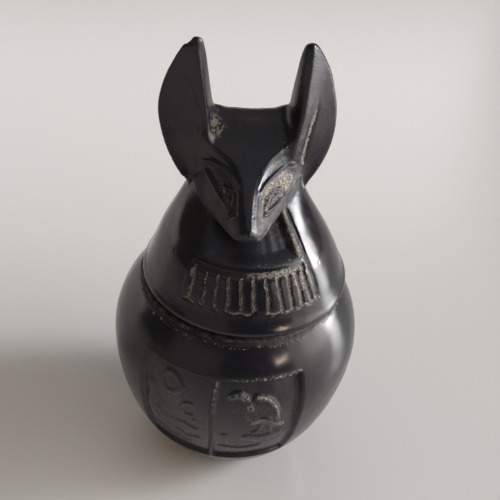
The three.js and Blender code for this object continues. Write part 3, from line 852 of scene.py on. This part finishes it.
# rim, foot, underside and the plug that sits in the jar's mouth: (radius, height)
LID_PROFILE = [
    (21.68, 50.9), (21.84, 50.55), (RIM_R, RIM_Z), (21.82, 49.9), (21.65, 49.6), (21.4, 49.3), (21.05, 49.0),
    (20.7, 48.8), (LID_FOOT_R, LID_Z + 0.05), (20.0, LID_Z), (18.6, LID_Z), (17.3, LID_Z),
    (PLUG_R + 0.15, LID_Z - 0.1), (PLUG_R, LID_Z - 0.4), (PLUG_R, LID_Z - 1.4), (PLUG_R - 0.05, LID_Z - 2.4),
    (PLUG_R - 0.25, LID_Z - 2.9), (PLUG_R - 0.6, LID_Z - 3.12),
] + [(r, PLUG_END_Z) for r in (PLUG_R - 1.2, 13.0, 10.0, 7.0, 4.0, 1.5)]


def open_ring(p, quads):
    """The net's open edge in order round the lid, and the angle of its first vertex."""
    pairs = np.sort(np.concatenate([quads[:, [a, (a + 1) % 4]] for a in range(4)]), axis=1)
    single, times = np.unique(pairs, axis=0, return_counts=True)
    edge = np.unique(single[times == 1])
    turn = np.arctan2(p[edge, 0], -p[edge, 1])
    return edge[np.argsort(turn)], turn.min()


def circle(radius, turn, z):
    """One row of points round the Z axis."""
    return np.stack([radius * np.sin(turn), -radius * np.cos(turn), np.full(len(turn), z)], 1)


def build_lid():
    p, quads = surface_net(lid_shape, steps(*NET_X), steps(*NET_Y), steps(*NET_Z))
    ring, first_turn = open_ring(p, quads)
    count = len(ring)
    turn = np.linspace(-math.pi, math.pi, count, endpoint=False) + first_turn + math.pi
    p[ring] = circle(HALF_WIDTH(JOIN_Z), turn, JOIN_Z)
    fixed = np.zeros(len(p), bool)
    fixed[ring] = True
    for _ in range(SMOOTHING_ROUNDS):
        p = spread(p, quads, fixed)
        p = np.where(fixed[:, None], p, snap(lid_shape, p, 0.2))
    g = gradient(lid_shape, p)
    n = g / np.maximum(norm(g, axis=1, keepdims=True), 1e-6)
    skin = lid_detail(p, n)
    lift = np.where(fixed, 0, skin.lift) * above(p[:, 2], JOIN_Z, 1.0)
    low = np.concatenate([circle(radius, turn, z) for radius, z in LID_PROFILE])
    matt = below(low[:, 2], 49.4, 0.6)
    low = low + 0.07 * (matt * rough_noise(low, 0.9, 61))[:, None] * [0.6, 0.6, 0.4]
    centre = len(p) + len(low)
    rows = np.vstack([ring, len(p) + np.arange(len(low)).reshape(-1, count)])
    after = np.roll(rows, -1, 1)
    walls = np.stack([rows[:-1], rows[1:], after[1:], after[:-1]], 2).reshape(-1, 4)
    fan = np.stack([rows[-1], np.full(count, centre), after[-1]], 1)
    p = np.concatenate([p + n * lift[:, None], low, [[0, 0, PLUG_END_Z]]]) + [LID_X, 0, 0]
    dust_and_sheen = np.concatenate([skin.dust_and_sheen, 0.35 * matt * smooth(0.5 + rough_noise(low, 1.2, 63)), [0.2]])
    rough = np.concatenate([skin.rough, matt, [1.0]])
    return p, np.concatenate([quads, walls]), fan, {"dust_and_sheen": dust_and_sheen, "rough": rough}


# ---- jar ----

# one degree round the belly in millimetres
DEGREE = 0.46
# the stone above this line is hidden under the lid and left rough
UNPOLISHED_Z = 47.2
RIGHT_CELL_DEPTH = 0.5

# The panel's figures: a path of (angle, z), half width, height, and how pale its edge is painted: a painted highlight
# on the lit edges.
FIGURES = [
    # a bird that stands on a bar
    ([(-4.6, 37.2), (-1.4, 37.8), (2.4, 36.6), (4.6, 34.2)], 0.8, 0.42, 0.62),
    ([(4.0, 35.0), (5.2, 31.8), (7.6, 29.6)], 1.1, 0.36, 0.35),
    ([(7.4, 35.4), (12.0, 35.0), (15.2, 31.8), (16.4, 29.0)], 1.7, 0.5, 0.35),
    ([(7.0, 37.0), (12.0, 36.2), (15.8, 33.6), (17.6, 30.0)], 0.45, 0.62, 0.7),
    ([(6.4, 29.2), (11.0, 29.8), (15.5, 28.2), (20.8, 26.8)], 0.7, 0.4, 0.6),
    ([(10.4, 29.6), (9.6, 26.4), (7.2, 25.2)], 0.5, 0.3, 0.2),
    ([(14.4, 28.6), (15.2, 25.4), (18.2, 24.0)], 0.5, 0.3, 0.3),
    ([(4.6, 23.2), (11.5, 22.4), (19.8, 23.4)], 1.1, 0.36, 0.4),
    ([(-6.2, 23.8), (-5.4, 21.2)], 0.8, 0.3, 0.4),
    ([(-7.4, 18.4), (3.0, 17.6), (12.0, 18.4)], 0.7, 0.25, 0.2),
    # a ring, a seated figure, a curl and two low mounds
    ([(-37.6, 36.8), (-35.0, 39.0), (-30.5, 38.8), (-27.0, 36.8)], 0.55, 0.24, 0.1),
    ([(-37.6, 36.8), (-35.4, 34.8), (-30.6, 34.6), (-27.0, 36.8)], 0.55, 0.24, 0.05),
    ([(-43.4, 33.6), (-42.4, 30.6), (-44.2, 26.4), (-42.8, 22.4)], 1.3, 0.27, 0.0),
    ([(-42.8, 26.6), (-38.2, 24.8), (-37.0, 21.4)], 1.0, 0.25, 0.0),
    ([(-40.6, 31.8), (-38.4, 29.8), (-37.2, 27.6)], 0.6, 0.22, 0.0),
    ([(-22.4, 32.9), (-25.4, 32.4), (-26.4, 30.4), (-24.8, 28.8), (-22.2, 29.2)], 0.5, 0.34, 0.5),
    ([(-22.6, 28.8), (-21.2, 27.4)], 0.5, 0.25, 0.2),
    ([(-31.6, 24.8), (-26.2, 25.0), (-20.6, 24.2)], 0.8, 0.26, 0.05),
    ([(-29.4, 21.0), (-24.4, 19.6), (-19.4, 20.4)], 0.8, 0.26, 0.05),
    ([(-44.0, 18.4), (-35.0, 17.0), (-24.0, 16.8)], 0.6, 0.22, 0.0),
]


def jar_radius(z):
    low = BELLY_R * np.sqrt(np.maximum(1 - ((BELLY_Z - z) / LOWER_HALF_AXIS) ** 2, 0))
    t = (z - BELLY_Z) / (MOUTH_Z - BELLY_Z)
    high = BELLY_R - SHOULDER_DROP * t * t * (0.9 + 0.1 * t * t)
    return np.where(z < BELLY_Z, low, high)


def panel_depth(angle, z, waver):
    """How far the panel is set back, and its mask. Its edges wander by waver."""
    side = smooth(((PANEL_HALF_ANGLE - np.abs(angle - PANEL_TURN)) * DEGREE + waver) / 0.75)
    bar_middle = PANEL_TURN + PANEL_BAR_SHIFT + 0.35 * np.sin(z * 0.35)
    bar = smooth((np.abs(angle - bar_middle) - PANEL_BAR_HALF_ANGLE + 0.1) * DEGREE / 0.6)
    within = side * below(z, PANEL_TOP_Z + waver, 0.7) * above(z, PANEL_BOTTOM_Z - waver, 0.8)
    return PANEL_DEPTH * within * (0.15 + 0.85 * bar), within


def figure_relief(angle, z, grit, patch):
    """Height of the panel's figures, and how pale their edges are painted, a painted highlight."""
    height = np.zeros(len(z))
    pale = np.zeros(len(z))
    flat = np.stack([angle * DEGREE, z, np.zeros(len(z))], 1)
    for knots, half, tall, pale_edge in FIGURES:
        away, _ = from_path(flat, path([(a * DEGREE, h, 0) for a, h in knots], 18))
        away = away + 0.12 * grit
        form = below(away, half + 0.28, 0.55) * np.sqrt(np.clip(1.1 - away / (half + 0.9), 0, 1))
        height = np.maximum(height, tall * form)
        # a pale band along the figure's edge: a painted highlight
        top_edge = around(away, half * 0.45, half * 0.8 + 0.15)
        pale = np.maximum(pale, pale_edge * top_edge * above(grit + 0.3 * patch, -0.55, 0.6))
    return height, pale


def jar_detail(angle, z, p):
    """The finer relief of the jar's outside."""
    skin = Skin(len(p))
    grit = rough_noise(p, 0.5, 71)
    patch = noise(p, 3.4, 72)
    fine = noise(p, 0.3, 78)
    across = angle - PANEL_TURN
    set_back, within = panel_depth(angle, z, 0.16 * noise(p, 2.6, 70))
    height, pale = figure_relief(angle, z, grit, patch)
    # the right-hand cell sinks towards the panel's end and towards its upper corner
    sink = above(across, PANEL_HALF_ANGLE - 14, 12) * above(z, 22, 8) + above(across, 8, 10) * above(z, 31, 11)
    skin.lift -= set_back
    # 0.75 * pale paints the figures' edges pale: a painted highlight
    skin.mark(within, height - RIGHT_CELL_DEPTH * sink - 0.03 * grit, 0.75 * pale)
    skin.mark(1.0, rough=0.10 * within + 0.5 * pale)

    # the panel's edges are rubbed along the top, at the bar and at the right
    top = around(z, PANEL_TOP_Z - 0.05, 1.15) * below(np.abs(across), PANEL_HALF_ANGLE, 1.5)
    pale_edge = above(0.7 * grit + 0.6 * noise(p, 0.3, 79) + 0.25 * patch, -0.3, 0.5)
    skin.mark(top, dust_and_sheen=pale_edge * (0.06 + 0.72 * above(angle, -12, 16)), rough=0.8)
    bar = around(across, PANEL_BAR_SHIFT, 1.9) * below(z, PANEL_TOP_Z + 0.3, 0.6) * above(z, PANEL_BOTTOM_Z, 0.6)
    skin.mark(bar, dust_and_sheen=0.75 * above(z, 26, 13) * smooth(0.5 + grit), rough=0.6)
    skin.mark(within * (1 - within), rough=2.0)

    # the unpolished edge under the lid, with a dusty line where the polish ends
    band = above(z + 0.3 * patch + 0.25 * grit, UNPOLISHED_Z, 0.7)
    skin.mark(band, -0.03 * (grit + 0.6 * fine), 0.10 + 0.08 * patch, 1.0)
    line = around(z + 0.3 * patch, UNPOLISHED_Z, 0.5)
    skin.mark(line, dust_and_sheen=0.5 * above(0.6 * grit + 0.8 * fine, -0.1, 0.6))
    skin.mark(below(z, 3.0, 3.0), -0.05 * grit, 0.35 * smooth(grit + 0.2), 0.8)
    # the whole surface: a hand-made unevenness and a few small pits
    skin.lift += 0.07 * noise(p, 7.0, 73) + 0.02 * noise(p, 2.2, 74)
    skin.mark(above(noise(p, 0.8, 75), 0.74, 0.15), lift=-0.05)
    return skin


def build_jar():
    start, end = PANEL_TURN - PANEL_HALF_ANGLE - 2, PANEL_TURN + PANEL_HALF_ANGLE + 2
    angles = steps((start, end, 0.47), (end, start + 360, 1.3))[:-1]
    low, high = PANEL_BOTTOM_Z - 1.4, PANEL_TOP_Z + 1.4
    heights = steps((0.8, low, 1.0), (low, high, 0.235), (high, 45.6, 0.4), (45.6, MOUTH_Z - 0.7, 0.2))
    count = len(angles)
    angle, z = np.tile(angles, len(heights)), np.repeat(heights, count)
    turn = np.radians(angle)
    skin = jar_detail(angle, z, circle(jar_radius(z), turn, z))
    outside = circle(jar_radius(z) + skin.lift, turn, z)

    def plain(profile):
        return np.concatenate([circle(radius, turn[:count], height) for radius, height in profile])

    foot = [(1.5, 0.25), (5.0, 0.2), (9.0, 0.12), (12.0, 0.03), (FOOT_R - FOOT_ROUND, 0.0), (FOOT_R - 0.25, 0.2)]
    last = np.hypot(outside[-count:, 0], outside[-count:, 1])
    lip = [
        (MOUTH_R - 0.8, MOUTH_Z - 0.05), (20.0, MOUTH_Z), (18.6, MOUTH_Z), (17.75, MOUTH_Z - 0.05),
        (BORE_R + 0.1, MOUTH_Z - 0.35),
    ]
    # the inside: the mouth's bore, straight walls below the shoulder and the floor with its rounded edge
    inside = [
        (BORE_R, 47.2), (jar_radius(38.0) - WALL, 38.0), (jar_radius(8.0) - WALL - 1.3817, 8.0),
        (jar_radius(6.0) - WALL - 3.4, FLOOR_THICKNESS + 0.6),
    ] + [(radius, FLOOR_THICKNESS) for radius in (11.0, 8.0, 5.0, 2.0)]
    # rows from the foot up the outside and down the inside: (points, dust, rough)
    parts = [
        (plain(foot), 0.3, 1.0),
        (outside, skin.dust_and_sheen, skin.rough),
        (plain([(lerp(last, MOUTH_R - 0.7, 0.5), MOUTH_Z - 0.3)]), 0.3, 1.0),
        (plain(lip), 0.25, 1.0),
        (plain(inside), 0.15, 1.0),
    ]
    p = np.concatenate([part[0] for part in parts])
    dust_and_sheen, rough = (np.concatenate([np.broadcast_to(part[k], len(part[0])) for part in parts]) for k in (1, 2))
    # unpolished rows are a little uneven, but the ring that the jar stands on stays flat
    uneven = 0.05 * (rough > 0.99) * rough_noise(p, 1.1, 77) * (p[:, 2] > 0.01)
    p = p + uneven[:, None] * [1, 1, 0]
    ids = np.arange(len(p)).reshape(-1, count)
    after = np.roll(ids, -1, 1)
    quads = np.stack([ids[:-1], after[:-1], after[1:], ids[1:]], 2).reshape(-1, 4)
    under, floor = len(p), len(p) + 1
    p = np.concatenate([p, [[0, 0, 0.25], [0, 0, FLOOR_THICKNESS]]])
    fan = np.concatenate([
        np.stack([np.full(count, under), after[0], ids[0]], 1),
        np.stack([np.full(count, floor), ids[-1], after[-1]], 1),
    ])
    return p, quads, fan, {"dust_and_sheen": np.append(dust_and_sheen, [0.3, 0.15]), "rough": np.append(rough, [1, 1])}


# ---- pieces ----

def add_object(name, data):
    obj = bpy.data.objects.new(name, data)
    bpy.context.scene.collection.objects.link(obj)
    return obj


def make_piece(name, node, built, material):
    p, quads, fan, masks = built
    mesh = bpy.data.meshes.new(name)
    mesh.from_pydata((p * MM).tolist(), [], quads.tolist() + fan.tolist())
    mesh.validate()
    mesh.shade_smooth()
    for key, values in masks.items():
        layer = mesh.attributes.new(key, "FLOAT", "POINT")
        layer.data.foreach_set("value", np.clip(values, 0, 1).astype(np.float32))
    mesh.materials.append(material)
    piece = add_object(name, mesh)
    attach(piece, "root")
    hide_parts(node)


# ---- materials ----

class Nodes:
    """A short way to add and link shader nodes."""

    def __init__(self, tree):
        self.tree = tree

    def add(self, kind, inputs=None, **settings):
        node = self.tree.nodes.new(kind)
        for key, value in settings.items():
            setattr(node, key, value)
        for key, value in (inputs or {}).items():
            self.put(node.inputs[key], value)
        return node

    def put(self, socket, value):
        if isinstance(value, bpy.types.NodeSocket):
            self.tree.links.new(value, socket)
        else:
            socket.default_value = value

    def math(self, operation, a, b, clamp=False):
        return self.add("ShaderNodeMath", {0: a, 1: b}, operation=operation, use_clamp=clamp).outputs[0]

    def plus(self, a, b, clamp=False):
        return self.math("ADD", a, b, clamp)

    def minus(self, a, b):
        return self.math("SUBTRACT", a, b)

    def times(self, a, b):
        return self.math("MULTIPLY", a, b)

    def larger(self, a, b):
        return self.math("MAXIMUM", a, b)

    def ramp(self, value, low, high):
        """A soft step from 0 at low to 1 at high, whichever is larger."""
        limits = {"Value": value, "From Min": low, "From Max": high}
        return self.add("ShaderNodeMapRange", limits, interpolation_type="SMOOTHSTEP").outputs["Result"]

    def noise(self, where, scale, detail, roughness=0.5, distortion=0.0):
        return self.add("ShaderNodeTexNoise", {
            "Vector": where, "Scale": scale, "Detail": detail, "Roughness": roughness, "Distortion": distortion,
        }).outputs["Fac"]

    def mix(self, factor, a, b):
        node = self.add("ShaderNodeMix", data_type="RGBA")
        self.put(node.inputs["Factor"], factor)
        self.put(node.inputs[6], a)
        self.put(node.inputs[7], b)
        return node.outputs[2]


BLACK = (0.0064, 0.0068, 0.0125, 1)
WARM_BLACK = (0.0165, 0.0105, 0.0130, 1)
# the pale colour of dust, also used for the painted highlights and sheen
DUST_AND_SHEEN = (0.48, 0.435, 0.385, 1)
DARK_DUST_AND_SHEEN = (0.060, 0.050, 0.043, 1)
STONE_IOR = 1.52
BUMP_DEPTH = 0.00016
FLOOR_PALE = (0.74, 0.735, 0.72, 1)
FLOOR_PALER = (0.77, 0.765, 0.755, 1)
FLOOR_ROUGHNESS = 0.24


def new_material(name):
    material = bpy.data.materials.new(name)
    material.use_nodes = True
    return material, material.node_tree.nodes["Principled BSDF"], Nodes(material.node_tree)


def stone(name, shift, smoothest):
    """Polished black stone with dust in its hollows, and painted highlights and sheen in the same pale colour. shift
    moves its pattern.
    """
    material, shader, n = new_material(name)
    where = n.add("ShaderNodeTexCoord").outputs["Object"]
    where = n.add("ShaderNodeMapping", {"Vector": where, "Location": (shift, shift * 0.7, 0)}).outputs["Vector"]
    dust_and_sheen = n.add("ShaderNodeAttribute", attribute_name="dust_and_sheen").outputs["Fac"]
    rough = n.add("ShaderNodeAttribute", attribute_name="rough").outputs["Fac"]
    cloud = n.noise(where, scale=95, detail=3)
    fine = n.noise(where, scale=900, detail=4, roughness=0.65)
    grain = n.noise(where, scale=3200, detail=3, roughness=0.6)
    smear = n.noise(where, scale=260, detail=3, roughness=0.6, distortion=0.6)
    stretch = {"Vector": where, "Rotation": (0.3, 0.5, 0.9), "Scale": (1, 1, 0.07)}
    stretched = n.add("ShaderNodeMapping", stretch).outputs["Vector"]
    scratch = n.ramp(n.noise(stretched, scale=4200, detail=2), 0.66, 0.74)
    # dust and painted sheen show where the mask beats a fine grain, so their edge is broken
    bare = n.plus(n.times(fine, 0.9), n.times(grain, 0.45))
    shown = n.ramp(n.minus(n.times(dust_and_sheen, 1.75), bare), -0.38, 0.32)
    specks = n.add("ShaderNodeTexVoronoi", {"Vector": where, "Scale": 230.0, "Randomness": 1.0})
    speck = n.times(n.ramp(specks.outputs["Distance"], 0.055, 0.03), n.ramp(smear, 0.56, 0.6))
    black = n.mix(n.ramp(cloud, 0.42, 0.68), BLACK, WARM_BLACK)
    dusty = n.mix(n.ramp(grain, 0.35, 0.68), DARK_DUST_AND_SHEEN, DUST_AND_SHEEN)
    colour = n.mix(shown, black, dusty)
    n.put(shader.inputs["Base Color"], n.mix(n.times(speck, 0.55), colour, DUST_AND_SHEEN))
    polish = n.plus(smoothest, n.times(n.ramp(smear, 0.35, 0.75), 0.08))
    polish = n.plus(polish, n.times(scratch, 0.06))
    matt = n.larger(n.times(rough, 0.55), n.times(shown, 0.62))
    n.put(shader.inputs["Roughness"], n.plus(polish, matt, clamp=True))
    # pits where the stone is rough or dusty, and a faint trace everywhere
    worn = n.plus(0.05, n.times(n.larger(rough, shown), 0.95))
    height = n.times(n.plus(fine, n.times(grain, 0.35)), worn)
    height = n.minus(height, n.times(scratch, 0.012))
    height = n.plus(height, n.times(smear, 0.05))
    bump = n.add("ShaderNodeBump", {"Height": height, "Strength": 1.0, "Distance": BUMP_DEPTH})
    n.put(shader.inputs["Normal"], bump.outputs["Normal"])
    shader.inputs["IOR"].default_value = STONE_IOR
    return material


def floor_material():
    material, shader, n = new_material("pale_floor")
    where = n.add("ShaderNodeTexCoord").outputs["Object"]
    n.put(shader.inputs["Base Color"], n.mix(n.noise(where, scale=6, detail=2), FLOOR_PALE, FLOOR_PALER))
    shader.inputs["Roughness"].default_value = FLOOR_ROUGHNESS
    return material


# ---- stage, light and camera ----

CAMERA = Vector((-12.0, -115.7, 148.3)) * MM
CAMERA_TARGET = Vector((1.60, 0.20, 53.8)) * MM
CAMERA_ROLL = math.radians(6.1)
LENS = 50.4
SENSOR = 36.0
CLIP = (0.005, 20)
FLOOR_HALF = 2.5
LIGHT_TARGET = Vector((0, 0, 0.05))
ROOM_COLOUR = (1.0, 0.92, 0.83, 1)
ROOM_STRENGTH = 0.10
# Lights: name, azimuth from +X towards +Y, elevation, distance, width, height, watts, colour, and whether the
# stone mirrors it.
LIGHTS = [
    ("window", 6, 18, 4.0, 0.95, 2.6, 138.0, (0.96, 0.97, 1.0), True),
    # the window's surroundings, in three steps so that their edge is soft
    ("curtain_0", -1, 18, 4.0, 1.8, 2.7, 27.0, (1.0, 0.95, 0.90), True),
    ("curtain_1", -7, 18, 4.0, 2.9, 2.7, 43.5, (1.0, 0.95, 0.90), True),
    ("curtain_2", -14, 18, 4.0, 4.2, 2.7, 63.0, (1.0, 0.95, 0.90), True),
    ("lamp", -52, 13, 1.5, 0.28, 0.07, 1.6, (1.0, 0.80, 0.66), True),
    ("wall", 160, 26, 1.8, 2.2, 1.4, 4.4, (1.0, 0.56, 0.22), False),
    ("room", -128, 14, 1.8, 1.5, 0.9, 1.1, (1.0, 0.80, 0.78), True),
    ("left_wall", 147, 7, 1.8, 1.3, 0.5, 2.0, (1.0, 0.95, 0.93), True),
    ("far_window", 92, 28, 2.5, 2.4, 0.9, 13.0, (0.95, 0.97, 1.0), True),
    ("ceiling", 60, 84, 2.0, 2.2, 2.2, 3.8, (0.97, 0.96, 1.0), True),
]


def aim(obj, place, target, roll=0.0):
    """Stands obj at place with its -Z to target and its right side tipped up by roll."""
    forward = (target - place).normalized()
    right = forward.cross(Vector((0, 0, 1))).normalized()
    up = right.cross(forward)
    c, s = math.cos(roll), math.sin(roll)
    r, u = right * c + up * s, up * c - right * s
    turn = Matrix((r, u, -forward)).transposed().to_4x4()
    obj.matrix_world = Matrix.Translation(place) @ turn


def add_camera():
    data = bpy.data.cameras.new("camera")
    data.lens = LENS
    data.sensor_width = SENSOR
    data.clip_start, data.clip_end = CLIP
    camera = add_object("camera", data)
    aim(camera, CAMERA, CAMERA_TARGET, CAMERA_ROLL)
    bpy.context.scene.camera = camera


def add_light(name, azimuth, elevation, distance, width, height, power, colour, glossy):
    data = bpy.data.lights.new(name, "AREA")
    data.shape = "RECTANGLE"
    data.size = width
    data.size_y = height
    data.energy = power
    data.color = colour
    light = add_object(name, data)
    a, e = math.radians(azimuth), math.radians(elevation)
    outward = Vector((math.cos(a) * math.cos(e), math.sin(a) * math.cos(e), math.sin(e)))
    aim(light, LIGHT_TARGET + distance * outward, LIGHT_TARGET)
    light.visible_glossy = glossy


def add_stage():
    mesh = bpy.data.meshes.new("floor")
    corners = [(x * FLOOR_HALF, y * FLOOR_HALF, 0) for x, y in ((-1, -1), (1, -1), (1, 1), (-1, 1))]
    mesh.from_pydata(corners, [], [(0, 1, 2, 3)])
    mesh.materials.append(floor_material())
    floor = add_object("floor", mesh)
    world = bpy.data.worlds.new("room")
    bpy.context.scene.world = world
    world.use_nodes = True
    background = world.node_tree.nodes["Background"]
    background.inputs["Color"].default_value = ROOM_COLOUR
    background.inputs["Strength"].default_value = ROOM_STRENGTH
    for light in LIGHTS:
        add_light(*light)


make_piece("lid_carved", "lid", build_lid(), stone("lid_black_stone", shift=0.0, smoothest=0.14))
make_piece("jar_carved", "jar", build_jar(), stone("jar_black_stone", shift=0.31, smoothest=0.18))
add_stage()
add_camera()
bpy.context.scene.view_settings.view_transform = "Standard"

bpy.context.view_layer.update()
